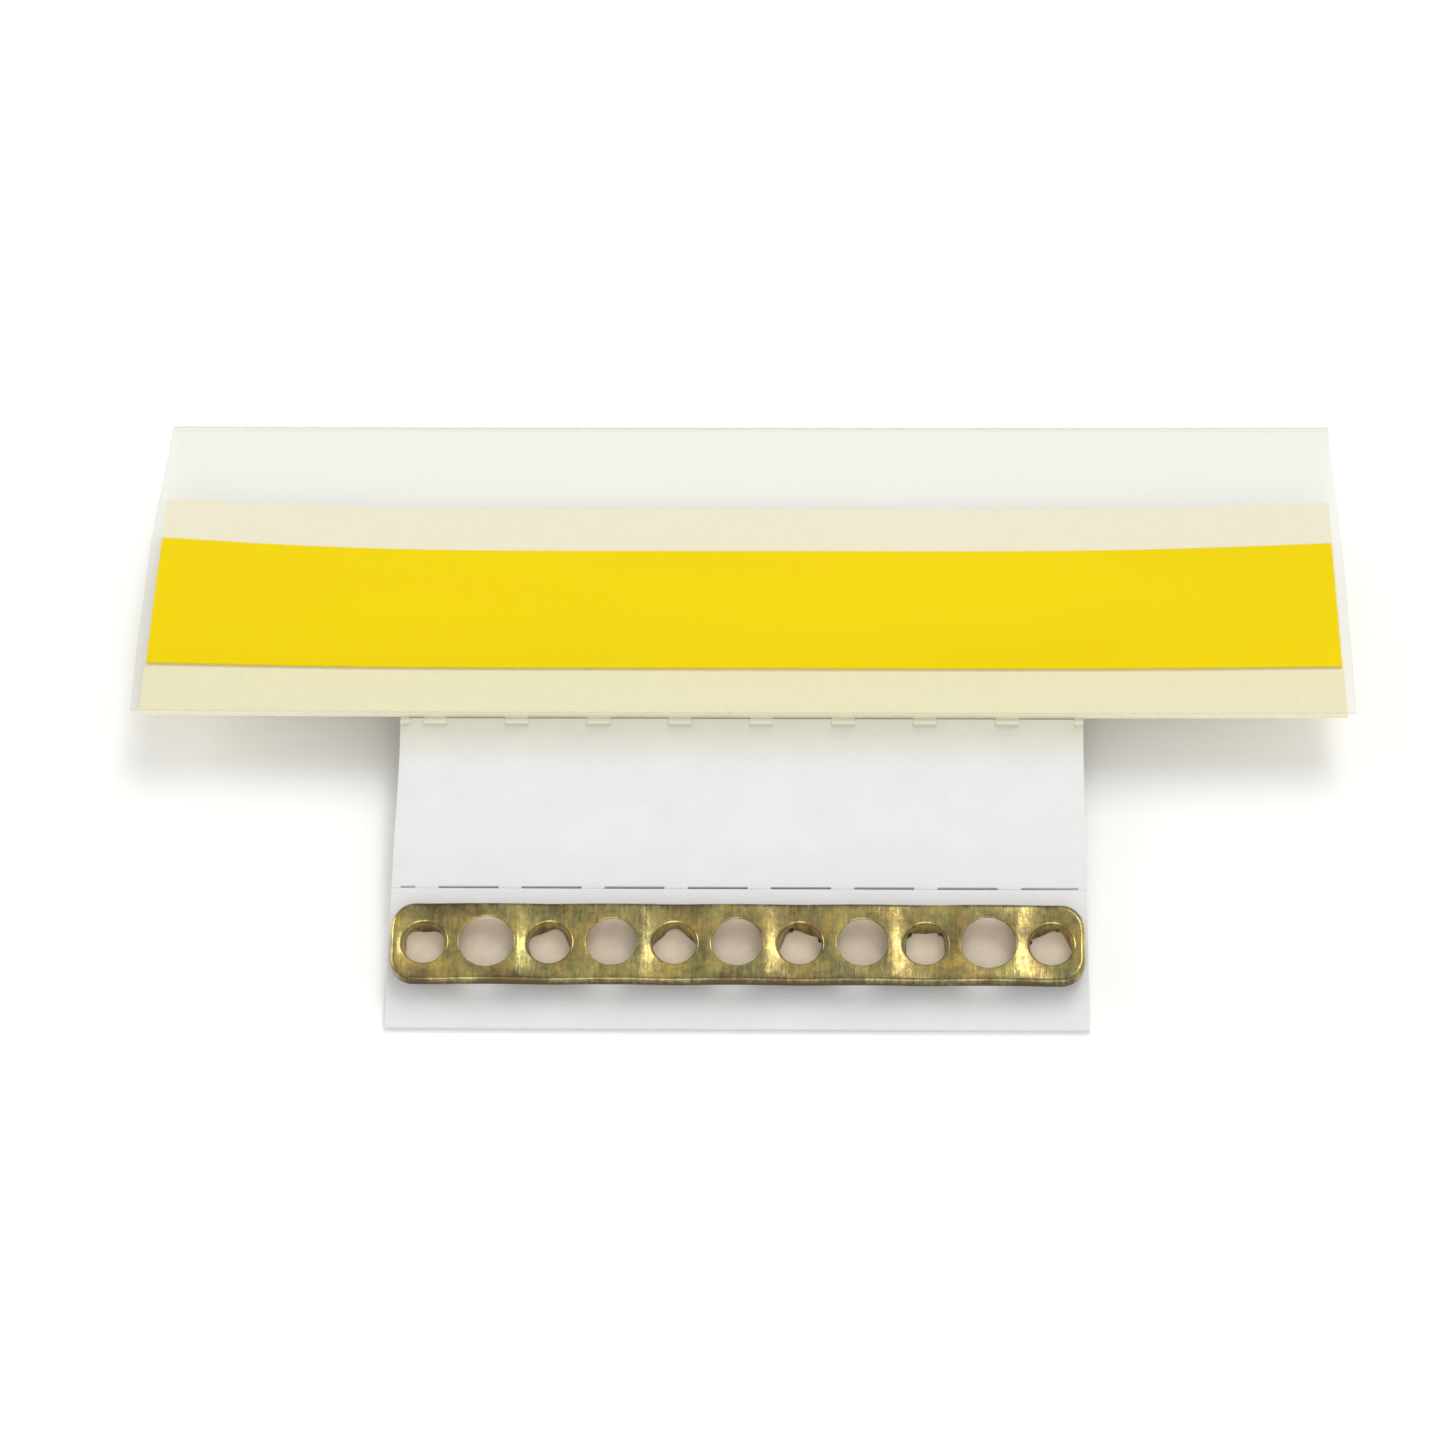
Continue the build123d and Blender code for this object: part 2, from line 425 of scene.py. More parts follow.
@dataclass(frozen=True, kw_only=True)
class StampedBrass(Finish):
    """Cartridge brass as it leaves the press.

    Brown, olive and bright blotches lie over it at random, it is darker towards its long edges, and the
    die leaves short streaks across it. The streaks are drawn coarser than real ones, so that they show.
    Painted shade darkens its rolled rim along the long sides and what lies deep in its eyelets. Its tone is a
    sum of blotches, specks and streaks, less the darkening towards the edges and the painted shade.
    The middle and the top are the plate's places along and above the part, and the lean is in radians.
    """

    name: str = "stamped_brass"
    lean: float
    middle: float
    top: float
    half_width: float
    bright: str = "EDD57A"
    mid: str = "BCAA74"
    olive: str = "908662"
    brown: str = "6C5F48"
    warm: str = "FFF6E4"
    green: str = "F9FFF0"
    blotches: Pattern = Pattern(1.3, 6, 0.65)
    specks: Pattern = Pattern(0.22, 4, 0.7, depth=0.0025)
    streaks: Pattern = Pattern(0.11, 3, 0.6, (1, 0.16, 0.16))
    marks: Pattern = Pattern(0.06, 3, stretch=(1, 0.06, 0.06), depth=0.003)
    swell: Pattern = Pattern(0.8, 3, depth=0.02)
    hues: Pattern = Pattern(0.9, 2)
    speck_share: float = 0.45
    streak_share: float = 0.4
    edge_from: float = 0.45
    edge_darkening: float = 0.11
    # Painted shade on the rolled rim and deep in the eyelets, by these widths, depths and amounts.
    rim: float = 0.2
    rim_painted_shade: float = 0.16
    bore_from: float = 0.2
    bore_to: float = 0.5
    bore_painted_shade: float = 0.2
    tone_and_painted_shade: tuple[float, float] = (0.54, 1.26)
    rough_over: tuple[float, float] = (0.65, 1.05)
    rough: tuple[float, float] = (0.34, 0.17)

    def _darkening_and_painted_shade(self, tree: bpy.types.NodeTree) -> list[bpy.types.NodeSocket]:
        """How much darker the long edges are, and the painted shade deep in the eyelets and on the rolled
        rim.

        Args:
            tree: The material's node tree.

        Returns:
            The three darkenings: the edges', the painted shade in the eyelets, and the painted shade on the
                rim.
        """
        place = add(tree, "ShaderNodeSeparateXYZ", {"Vector": coordinates(tree, turn=self.lean)}).outputs
        off = add(tree, "ShaderNodeMath", {0: place["Y"], 1: -self.middle * MM}, operation="ADD").outputs[0]
        off = add(tree, "ShaderNodeMath", {0: off}, operation="ABSOLUTE").outputs[0]
        half = self.half_width * MM
        # Darker towards the long edges; painted shade more than 0.2 mm below the top, deep in the eyelets;
        # painted shade on the rolled rim.
        ranges = (span(off, half * self.edge_from, half, 0.0, self.edge_darkening),
                  span(place["Z"], (self.top - self.bore_to) * MM, (self.top - self.bore_from) * MM,
                       self.bore_painted_shade, 0.0),
                  span(off, half - self.rim * MM, half, 0.0, self.rim_painted_shade))
        return [add(tree, "ShaderNodeMapRange", inputs).outputs["Result"] for inputs in ranges]

    def look(self, tree: bpy.types.NodeTree) -> dict:
        """Works out the brass's shader.

        Args:
            tree: The material's node tree.

        Returns:
            Values and sockets by the shader's inputs.
        """
        share, specks, streaks = (p.value(tree) for p in (self.blotches, self.specks, self.streaks))
        for part, weight in ((specks, self.speck_share), (streaks, self.streak_share)):
            share = add(tree, "ShaderNodeMath", {0: part, 1: weight, 2: share},
                        operation="MULTIPLY_ADD").outputs[0]
        # Takes off the darkening towards the edges and the painted shade of the rim and the eyelets.
        for darkening in self._darkening_and_painted_shade(tree):
            share = add(tree, "ShaderNodeMath", {0: share, 1: darkening}, operation="SUBTRACT").outputs[0]
        tone_and_painted_shade = add(tree, "ShaderNodeMapRange", span(share, *self.tone_and_painted_shade, 0.0, 1.0)).outputs["Result"]
        colour = add(tree, "ShaderNodeValToRGB", {"Fac": tone_and_painted_shade},
                     [(0.12, self.brown), (0.33, self.olive), (0.56, self.mid), (0.85, self.bright)])
        hue = add(tree, "ShaderNodeValToRGB", {"Fac": self.hues.value(tree)},
                  [(0.4, self.warm), (0.6, self.green)])
        tinted = add(tree, "ShaderNodeMix", {0: 1.0, 6: colour.outputs["Color"], 7: hue.outputs["Color"]},
                     data_type="RGBA", blend_type="MULTIPLY")
        rough = add(tree, "ShaderNodeMapRange", span(share, *self.rough_over, *self.rough))
        normal = relief(tree, (self.swell.value(tree), self.swell.depth),
                        (self.marks.value(tree), self.marks.depth), (specks, self.specks.depth))
        return {"Base Color": tinted.outputs[2], "Metallic": 1.0, "Roughness": rough.outputs["Result"],
                "Normal": normal}


@dataclass(frozen=True)
class TableLaminate(Finish):
    """Matt laminate of a table top: nearly white, with faint broad clouds."""

    name: str = "pale_table_laminate"
    dark: str = "FAFAF9"
    light: str = "FBFBFA"
    rough: float = 0.9
    cloud: Pattern = Pattern(4.0, 2)

    def look(self, tree: bpy.types.NodeTree) -> dict:
        """Works out the laminate's shader.

        Args:
            tree: The material's node tree.

        Returns:
            Values and sockets by the shader's inputs.
        """
        colour = add(tree, "ShaderNodeValToRGB", {"Fac": self.cloud.value(tree)},
                     [(0.3, self.dark), (0.7, self.light)])
        return {"Base Color": colour.outputs["Color"], "Roughness": self.rough}


# ---------------------------------------------------------------- hand work


def only(piece: bpy.types.Object) -> None:
    """Selects one object and makes it active.

    Args:
        piece: The object.
    """
    bpy.ops.object.select_all(action="DESELECT")
    piece.select_set(True)
    bpy.context.view_layer.objects.active = piece


@contextmanager
def editing(piece: bpy.types.Object, mode: str = "EDGE") -> Iterator[None]:
    """Edit mode on one object.

    Args:
        piece: The object.
        mode: "VERT", "EDGE" or "FACE", for what is selected.
    """
    only(piece)
    bpy.ops.object.mode_set(mode="EDIT")
    bpy.ops.mesh.select_mode(type=mode)
    yield
    bpy.ops.object.mode_set(mode="OBJECT")


def pick(piece: bpy.types.Object, test: Callable, kind: str = "edges") -> None:
    """Selects, in edit mode, the elements that pass a test and no others.

    Args:
        piece: The object in edit mode.
        test: Takes a vertex, edge or face and says whether it is wanted.
        kind: "verts", "edges" or "faces".
    """
    bpy.ops.mesh.select_all(action="DESELECT")
    mesh = bmesh.from_edit_mesh(piece.data)
    for element in getattr(mesh, kind):
        if test(element):
            element.select_set(True)
    mesh.select_flush_mode()
    bmesh.update_edit_mesh(piece.data)


def primitive(name: str, maker: Callable, scale: tuple = (1, 1, 1), place: tuple = (0, 0, 0),
              **settings: object) -> bpy.types.Object:
    """Adds a primitive at its size and place, with its object at the origin.

    Args:
        name: The piece's name.
        maker: The bpy.ops.mesh primitive operator.
        scale: Its size along each axis, in metres for a unit primitive.
        place: Its centre in metres.
        **settings: The operator's own settings.

    Returns:
        The new object.
    """
    bpy.ops.object.select_all(action="DESELECT")
    maker(**settings)
    piece = bpy.context.view_layer.objects.active
    piece.name = name
    piece.data.name = name
    piece.scale = scale
    piece.location = place
    bpy.ops.object.transform_apply(location=True, rotation=True, scale=True)
    return piece


def modify(piece: bpy.types.Object, kind: str, **settings: object) -> None:
    """Adds a modifier and applies it.

    Args:
        piece: The object.
        kind: The modifier's type.
        **settings: Its own properties.
    """
    only(piece)
    modifier = piece.modifiers.new(kind.title(), kind)
    for name, value in settings.items():
        setattr(modifier, name, value)
    bpy.ops.object.modifier_apply(modifier=modifier.name)


def lattice(size: tuple[float, float], centre: tuple[float, float], counts: tuple[int, int],
            lift: Callable[[float, float], float]) -> bpy.types.Object:
    """A flat cage whose points are lifted, for bending what it holds.

    Args:
        size: Its size along X and Y.
        centre: Its centre.
        counts: Its points along X and Y.
        lift: Gives the lift at a place.

    Returns:
        The cage.
    """
    deep = 6.0
    bpy.ops.object.select_all(action="DESELECT")
    bpy.ops.object.add(type="LATTICE", location=(centre[0] * MM, centre[1] * MM, 0))
    cage = bpy.context.view_layer.objects.active
    cage.scale = (size[0] * MM, size[1] * MM, deep * MM)
    cage.data.points_u, cage.data.points_v = counts
    cage.data.points_w = 2
    for point in cage.data.points:
        x, y = (centre[k] + point.co[k] * size[k] for k in (0, 1))
        point.co_deform.z += lift(x, y) / deep
    return cage


def lay(piece: bpy.types.Object, panel: Panel) -> None:
    """Lays a finished flat piece on its panel and applies its place.

    Args:
        piece: The flat piece.
        panel: The panel that it belongs to.
    """
    only(piece)
    piece.matrix_world = panel_matrix(panel)
    bpy.ops.object.transform_apply(location=True, rotation=True, scale=True)


def hand_over(piece: bpy.types.Object, body: str, node: str) -> None:
    """Lets a finished piece ride on its body in place of its CAD node, and reports it.

    Args:
        piece: The finished piece.
        body: The body that carries it.
        node: The CAD node that it stands for.
    """
    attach(piece, body)
    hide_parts(node)
    LOG.info("%s rides on %s: %d faces", piece.name, body, len(piece.data.polygons))


def dress(piece: bpy.types.Object, *finishes: bpy.types.Material) -> None:
    """Puts materials on a piece in place of any it has.

    Args:
        piece: The piece.
        *finishes: Its materials.
    """
    piece.data.materials.clear()
    for finish in finishes:
        piece.data.materials.append(finish)


def spaced(line: Line, step: float) -> Line:
    """Puts extra points on a line, so that no run is longer than a step.

    Args:
        line: The (y, z) points.
        step: The longest run along y.

    Returns:
        The line with its extra points.
    """
    points = [line[0]]
    for (y_from, z_from), (y_to, z_to) in zip(line, line[1:]):
        runs = max(1, math.ceil(abs(y_to - y_from) / step))
        points += [(y_from + (y_to - y_from) * k / runs, z_from + (z_to - z_from) * k / runs)
                   for k in range(1, runs + 1)]
    return points


# ---------------------------------------------------------------- the sheet


@dataclass
class Sheet:
    """The laminated sheet behind the fold: clear film, yellow strip, adhesive, liner and bonding tape.

    Its side edges lift a little from the table, most at the yellow strip's rear edge, and its own rear edge
    lies flat. The margins are what a layer stands back from the film's side edges.
    """

    width: float = 40.2
    setback: float = 0.15
    strip_front: float = 2.2
    strip_rear: float = 7.8
    strip_margin: float = 0.34
    liner_rear: float = 10.0
    liner_margin: float = 0.28
    film_rear: float = 14.2
    bond_rear: float = 2.1
    paper: float = 0.15
    bond: float = 0.08
    liner: float = 0.10
    adhesive: float = 0.05
    yellow: float = 0.06
    film: float = 0.08
    drape: float = 0.35
    curl_left: float = 0.74
    curl_right: float = 0.5
    front_share: float = 0.045
    curl_from: float = 8.0
    columns: int = 48
    row: float = 0.8
    cage: tuple[int, int] = (17, 8)
    face_on: float = 0.5

    def __post_init__(self) -> None:
        """Works out the height of each layer's underside from the paper's middle."""
        self.bond_z = self.paper / 2
        self.liner_z = self.bond_z + self.bond
        self.adhesive_z = self.liner_z + self.liner
        self.yellow_z = self.adhesive_z + self.adhesive
        self.film_z = self.yellow_z + self.yellow

    def _layer(self, name: str, width: float, line: Line, thick: float) -> bpy.types.Object:
        """Models one layer as a web that is drawn back along its profile and given its thickness.

        Args:
            name: The piece's name.
            width: Its width across the sheet.
            line: The (y, z) profile of its underside.
            thick: Its thickness.

        Returns:
            The flat, unlaid layer.
        """
        points = spaced(line, self.row)
        (front, z), (first, _) = points[0], points[1]
        piece = primitive(name, bpy.ops.mesh.primitive_grid_add, (width * MM, (first - front) * MM, 1),
                          (0, (front + first) / 2 * MM, z * MM), x_subdivisions=self.columns,
                          y_subdivisions=1, size=1.0)
        with editing(piece):
            pick(piece, lambda edge: all(v.co.y > first * MM - TOUCH for v in edge.verts))
            for (y_from, z_from), (y_to, z_to) in zip(points[1:], points[2:]):
                step = (0, (y_to - y_from) * MM, (z_to - z_from) * MM)
                bpy.ops.mesh.extrude_edges_move(TRANSFORM_OT_translate={"value": step})
        modify(piece, "SOLIDIFY", thickness=(thick - HAIRLINE) * MM, offset=1.0, use_even_offset=True)
        return piece

    def _lift(self, x: float, y: float) -> float:
        """How far the sheet stands above its flat shape at a place.

        Args:
            x: The place across the sheet.
            y: The place back from the fold.

        Returns:
            The lift.
        """
        side = max(0.0, abs(x) - self.curl_from) / (self.width / 2 - self.curl_from)
        rise = self.curl_left if x < 0 else self.curl_right
        if y > self.strip_rear:
            share = max(0.0, self.film_rear - y) / (self.film_rear - self.strip_rear)
        else:
            share = self.front_share + (1 - self.front_share) * y / self.strip_rear
        return rise * side ** 2 * share

    def build(self) -> dict[str, bpy.types.Object]:
        """Models every layer flat, lifts the side edges and lays the layers on the part.

        Returns:
            The pieces by the name of their CAD node.
        """
        flat_film = [(self.setback, self.adhesive_z), (self.strip_front - self.drape, self.adhesive_z),
                     (self.strip_front, self.film_z), (self.strip_rear, self.film_z),
                     (self.strip_rear + self.drape, self.adhesive_z), (self.liner_rear, self.adhesive_z),
                     (self.liner_rear + self.drape, self.liner_z), (self.film_rear, self.liner_z)]
        liner_width = self.width - 2 * self.liner_margin
        strip_width = self.width - 2 * self.strip_margin
        flat = {
            "clear_film": (self.width, flat_film, self.film),
            "yellow_splice_film": (strip_width, [(self.strip_front, self.yellow_z),
                                                 (self.strip_rear, self.yellow_z)], self.yellow),
            "splice_adhesive": (strip_width, [(self.strip_front, self.adhesive_z),
                                              (self.strip_rear, self.adhesive_z)], self.adhesive),
            "release_liner": (liner_width, [(self.setback, self.liner_z),
                                            (self.liner_rear, self.liner_z)], self.liner),
            "bond_tape": (liner_width, [(self.setback, self.bond_z),
                                        (self.bond_rear, self.bond_z)], self.bond),
        }
        pieces = {node: self._layer(f"look_{node}", *sizes) for node, sizes in flat.items()}
        cage = lattice((self.width, self.film_rear), (0, self.film_rear / 2), self.cage, self._lift)
        for piece in pieces.values():
            modify(piece, "LATTICE", object=cage)
        bpy.data.objects.remove(cage)
        for piece in pieces.values():
            lay(piece, Panel.SHEET)
        return pieces

    def dress(self, pieces: dict[str, bpy.types.Object]) -> None:
        """Gives each layer its finish and its body.

        Args:
            pieces: The layers by the name of their CAD node.
        """
        place = panel_matrix(Panel.SHEET)
        lean = place.to_euler().x
        fold = place.inverted() @ Vector((0, 0, 0))
        film = pieces["clear_film"]
        dress(film, PolyesterFilm().material(), FilmEdge().material())
        up = place.to_3x3() @ Vector((0, 0, 1))
        for face in film.data.polygons:
            face.material_index = 0 if abs(face.normal.dot(up)) > self.face_on else 1
        dress(pieces["yellow_splice_film"], PrintedFilm().material())
        dress(pieces["splice_adhesive"], Adhesive("acrylic_splice_adhesive", "EFE3B4", "E6D8A2").material())
        liner = ReleasePaper("cream_release_paper", "F6F1DB", "F3EECB",
                             self.bond_rear * MM - fold.y, -lean)
        dress(pieces["release_liner"], liner.material())
        dress(pieces["bond_tape"], Adhesive("tissue_backed_tape", "F6F0D8", "F0E9CE").material())
        hand_over(film, "film", "clear_film")
        hand_over(pieces["yellow_splice_film"], "splice_strip", "yellow_splice_film")
        hand_over(pieces["splice_adhesive"], "splice_strip", "splice_adhesive")
        hand_over(pieces["release_liner"], "liner", "release_liner")
        hand_over(pieces["bond_tape"], "liner", "bond_tape")


# ---------------------------------------------------------------- the paper tab


@dataclass
class PaperTab:
    """The paper tab in its three parts, with the ties of two perforations.

    A part's ties stand out of its front edge and just pass the fold line. At the first fold, the second
    part has tongues between them, so that the cuts lie back at the sheet's edge. The second part drops off
    the first fold and sags.
    """

    width: float = 22.4
    thick: float = 0.15
    length: float = 11.0
    root: float = 2.0
    fold: float = 6.0
    tie: float = 0.75
    pitch: float = 2.68
    offset: float = 0.67
    edge_tie: float = 0.3
    neck: float = 0.15
    gap: float = 0.13
    slit: float = 0.08
    seam: float = 0.005
    tongue: float = 0.23
    tip: float = 0.125
    edge_round: float = 0.008
    dip: float = 0.3
    dip_start: float = -0.05
    dip_run: float = 4.6
    dip_power: float = 0.6
    rows: int = 24
    cage: tuple[int, int] = (2, 49)
    crease: float = 50.0
    smooth: float = 25.0

    def _spans(self) -> Line:
        """Works out where the ties stand along a perforation.

        Returns:
            The (low, high) x of every tie.
        """
        edge = self.width / 2
        spans = [(-edge, -edge + self.edge_tie)]
        reach = math.ceil(edge / self.pitch) + 1
        for step in range(-reach, reach + 1):
            middle = self.offset + step * self.pitch
            low, high = max(middle - self.tie / 2, -edge), min(middle + self.tie / 2, edge - self.edge_tie)
            if high - low > self.edge_tie:
                spans.append((low, high))
        spans.append((edge - self.edge_tie, edge))
        return spans

    def _at_tie(self, face: bmesh.types.BMFace) -> bool:
        """Whether a face lies in line with a tie."""
        x = face.calc_center_median().x / MM
        return any(low < x < high for low, high in self._spans())

    def _panel(self, name: str, front: float, rear: float, tie: float = 0.0,
               tongue: float = 0.0) -> bpy.types.Object:
        """Models one panel with the ties and tongues drawn out of its edges.

        Args:
            name: The piece's name.
            front: Its front edge along the tab.
            rear: Its rear edge.
            tie: How far ties stand out of its front edge.
            tongue: How far tongues stand out of its rear edge.

        Returns:
            The flat panel.
        """
        piece = primitive(name, bpy.ops.mesh.primitive_cube_add,
                          (self.width * MM, (rear - front) * MM, self.thick * MM),
                          (0, (front + rear) / 2 * MM, 0), size=1.0)
        with editing(piece, "FACE"):
            for row in range(1, self.rows):
                bpy.ops.mesh.select_all(action="SELECT")
                y = front + (rear - front) * row / self.rows
                bpy.ops.mesh.bisect(plane_co=(0, y * MM, 0), plane_no=(0, 1, 0))
            for x in sorted({x for span in self._spans() for x in span})[1:-1]:
                bpy.ops.mesh.select_all(action="SELECT")
                bpy.ops.mesh.bisect(plane_co=(x * MM, 0, 0), plane_no=(1, 0, 0))
            if tie:
                pick(piece, lambda face: face.normal.y < -FACING and self._at_tie(face), "faces")
                bpy.ops.mesh.extrude_region_move(TRANSFORM_OT_translate={"value": (0, -tie * MM, 0)})
            if tongue:
                pick(piece, lambda face: face.normal.y > FACING and not self._at_tie(face), "faces")
                bpy.ops.mesh.extrude_region_move(TRANSFORM_OT_translate={"value": (0, tongue * MM, 0)})
        modify(piece, "BEVEL", width=self.edge_round * MM, segments=2, limit_method="ANGLE",
               angle_limit=math.radians(self.crease))
        return piece

    def _sag(self, _: float, y: float) -> float:
        """How far the second part stands off its flat shape, as it drops steeply off the fold.

        Args:
            _: The place across the tab.
            y: The place along it, which falls away from the fold.

        Returns:
            The lift, which is below zero.
        """
        run = min(1.0, max(0.0, (self.dip_start - y) / self.dip_run))
        return -self.dip * math.sin(math.pi * run ** self.dip_power)

    def build(self) -> dict[str, bpy.types.Object]:
        """Models the three parts and lays them on the part.

        Returns:
            The pieces by the name of their CAD node.
        """
        strip_rear = self.fold + self.thick / 2 + 3 * self.seam
        pieces = {
            "tab_root_paper": self._panel("look_tab_root", self.neck, self.root, self.neck + self.tip),
            "tab_paper": self._panel("look_tab", self.slit - strip_rear, -self.gap, self.slit - self.seam,
                                     self.tongue),
            "clip_strip_paper": self._panel("look_clip_strip", -self.length, -strip_rear),
        }
        second = pieces["tab_paper"]
        cage = lattice((self.width, self.fold + 2 * self.tongue), (0, -self.fold / 2), self.cage, self._sag)
        modify(second, "LATTICE", object=cage)
        bpy.data.objects.remove(cage)
        only(second)
        bpy.ops.object.shade_smooth_by_angle(angle=math.radians(self.smooth))
        for node, piece in pieces.items():
            lay(piece, Panel.SHEET if node == "tab_root_paper" else Panel.TAB)
        return pieces

    def dress(self, pieces: dict[str, bpy.types.Object]) -> None:
        """Gives the parts their paper and their bodies.

        Args:
            pieces: The parts by the name of their CAD node.
        """
        fold = joint("tab_fold")["pos_m"][1]
        # F3EFD9 is the cream painted shadow that the paper gets under the sheet's edge, at the fold.
        paper = UncoatedPaper("uncoated_white_paper", "E4E4E4", "DFDFE0", "F3EFD9", fold).material()
        for piece in pieces.values():
            dress(piece, paper)
        hand_over(pieces["tab_root_paper"], "liner", "tab_root_paper")
        hand_over(pieces["tab_paper"], "tab", "tab_paper")
        hand_over(pieces["clip_strip_paper"], "clip_strip", "clip_strip_paper")


# ---------------------------------------------------------------- the brass clip


@dataclass
class BrassClip:
    """The stamped clip: a plate with a rolled rim, pierced eyelets with petals, and plain holes.

    It is modelled as the skin of its upper face, one cell for each hole, and then given the sheet's
    thickness underneath. While it is modelled, the plate's top is z = 0 and its middle is the origin.
    Each petal step lifts what lies within its reach of a petal's gap.
    """

    length: float = 22.15
    width: float = 2.75
    corner: float = 0.9
    thick: float = 0.12
    rim_drop: float = 0.32
    rim_radius: float = 0.15
    pitch: float = 4.0
    eyelets: int = 6
    height: float = 0.7
    dish: float = 0.22
    dish_reach: float = 0.92
    dish_oval: float = 0.85
    foot_drop: float = 0.15
    bore: float = 1.4
    mouth: float = 0.1
    mouth_drop: float = 0.11
    square: float = 1.22
    square_corner: float = 0.36
    square_cuts: int = 4
    petal_steps: tuple[tuple[float, float], ...] = ((0.08, 0.04), (0.032, 0.09))
    petal_turn: float = 23.0
    plain: float = 1.63
    pilot: float = 1.75
    roll_over: float = 0.05
    middle: float = 8.295
    seat: float = 0.125
    side_cuts: int = 12
    corner_cuts: int = 10
    run_cuts: int = 5
    wall_cuts: int = 5
    mouth_cuts: int = 8
    plain_cuts: int = 4
    rim_cuts: int = 7
    smooth: float = 38.0

    def _subdivide(self, piece: bpy.types.Object, test: Callable, pieces: int) -> None:
        """Divides the edges that pass a test.

        Args:
            piece: The object.
            test: Takes an edge and says whether it is wanted.
            pieces: How many pieces each edge becomes.
        """
        with editing(piece):
            pick(piece, test)
            bpy.ops.mesh.subdivide(number_cuts=pieces - 1)

    def _frame(self, x: float, end: int) -> bpy.types.Object:
        """The outline of one hole's share of the plate.

        Args:
            x: The hole's place along the clip.
            end: -1 or 1 for a cell at that end of the clip, or 0.

        Returns:
            A loop of edges, as many as the hole has.
        """
        cell = self.pitch / 2
        beyond = self.length / 2 - self.rim_radius - abs(x) - cell / 2 if end else 0.0
        long = cell + beyond
        centre = x + end * beyond / 2
        piece = primitive("look_brass_clip", bpy.ops.mesh.primitive_plane_add,
                          (long * MM, (self.width - 2 * self.rim_radius) * MM, 1),
                          (centre * MM, 0, 0), size=1.0)
        if end:
            with editing(piece, "VERT"):
                pick(piece, lambda v: (v.co.x - x * MM) * end > 0, "verts")
                bpy.ops.mesh.bevel(offset=(self.corner - self.rim_radius) * MM, segments=self.corner_cuts,
                                   affect="VERTICES")
        with editing(piece, "FACE"):
            bpy.ops.mesh.select_all(action="SELECT")
            bpy.ops.mesh.delete(type="ONLY_FACE")

        def across(edge: bmesh.types.BMEdge) -> bool:
            """Whether an edge runs across the clip."""
            low, high = (v.co for v in edge.verts)
            return abs(low.x - high.x) < TOUCH

        def along(edge: bmesh.types.BMEdge) -> bool:
            """Whether an edge runs along the clip."""
            low, high = (v.co for v in edge.verts)
            return abs(low.y - high.y) < TOUCH

        def outer(edge: bmesh.types.BMEdge) -> bool:
            """Whether an edge runs across the clip at its end."""
            return across(edge) and edge.verts[0].co.x * end > (abs(x) + cell / 4) * MM

        if end:
            ending = 3 * self.side_cuts - 2 * (self.corner_cuts + self.run_cuts)
            self._subdivide(piece, along, self.run_cuts)
            self._subdivide(piece, outer, ending)
            self._subdivide(piece, lambda edge: across(edge) and not outer(edge), self.side_cuts)
        else:
            self._subdivide(piece, lambda edge: True, self.side_cuts)
        return piece

    def _ring(self, piece: bpy.types.Object, adder: Callable, cuts: int) -> None:
        """Joins a new loop to a piece and bridges it to the lowest open loop.

        Args:
            piece: The open skin or outline.
            adder: Adds the new loop as the active object.
            cuts: How many loops stand between the two.
        """
        count = len(piece.data.edges)
        low = min(v.co.z for v in piece.data.vertices)
        bpy.ops.object.select_all(action="DESELECT")
        adder()
        bpy.ops.object.transform_apply(location=True, rotation=True, scale=True)
        piece.select_set(True)
        bpy.context.view_layer.objects.active = piece
        bpy.ops.object.join()
        with editing(piece):
            pick(piece, lambda edge: len(edge.link_faces) == 0 or edge.index < count and
                 len(edge.link_faces) == 1 and all(abs(v.co.z - low) < TOUCH for v in edge.verts))
            bpy.ops.mesh.bridge_edge_loops(number_cuts=cuts)

    def _cell(self, x: float, end: int, profile: Line) -> bpy.types.Object:
        """One cell of the plate with its skin drawn down into the hole.

        Args:
            x: The hole's place along the clip.
            end: -1 or 1 for a cell at that end of the clip, or 0.
            profile: The (radius, z) of each loop of the hole from the top down.

        Returns:
            The cell, open at the foot of the hole.
        """
        piece = self._frame(x, end)
        sides = 4 * self.side_cuts
        radius = profile[0][0] * MM
        self._ring(piece, lambda: bpy.ops.mesh.primitive_circle_add(
            vertices=sides, radius=radius, location=(x * MM, 0, 0)), 0)
        with editing(piece):
            pick(piece, lambda edge: all(abs(math.hypot(v.co.x - x * MM, v.co.y) - radius) < TOUCH
                                         for v in edge.verts))
            for (r_from, z_from), (r_to, z_to) in zip(profile, profile[1:]):
                step = (0, 0, (z_to - z_from) * MM)
                bpy.ops.mesh.extrude_edges_move(TRANSFORM_OT_translate={"value": step})
                scale = r_to / r_from
                bpy.ops.transform.resize(value=(scale, scale, 1), center_override=(x * MM, 0, 0))
        return piece

    def _rounding(self, radius: float, out: float, drop: float, steps: int) -> Line:
        """The (radius, z) points of a mouth that is rounded off into a straight wall."""
        angles = [math.pi / 2 * step / steps for step in range(steps + 1)]
        return [(radius + out * (1 - math.sin(a)), -drop * (1 - math.cos(a))) for a in angles]

    def _eyelet(self, x: float, end: int, turn: float) -> bpy.types.Object:
        """One eyelet: a round mouth that goes over to the square of the piercing punch, split into petals.

        Args:
            x: Its place along the clip.
            end: -1 or 1 for a cell at that end of the clip, or 0.
            turn: How far its petals are turned, in degrees.

        Returns:
            The cell.
        """
        mouth = self._rounding(self.bore / 2, self.mouth, self.mouth_drop, self.mouth_cuts)
        piece = self._cell(x, end, mouth)
        foot = (self.foot_drop - self.height) * MM

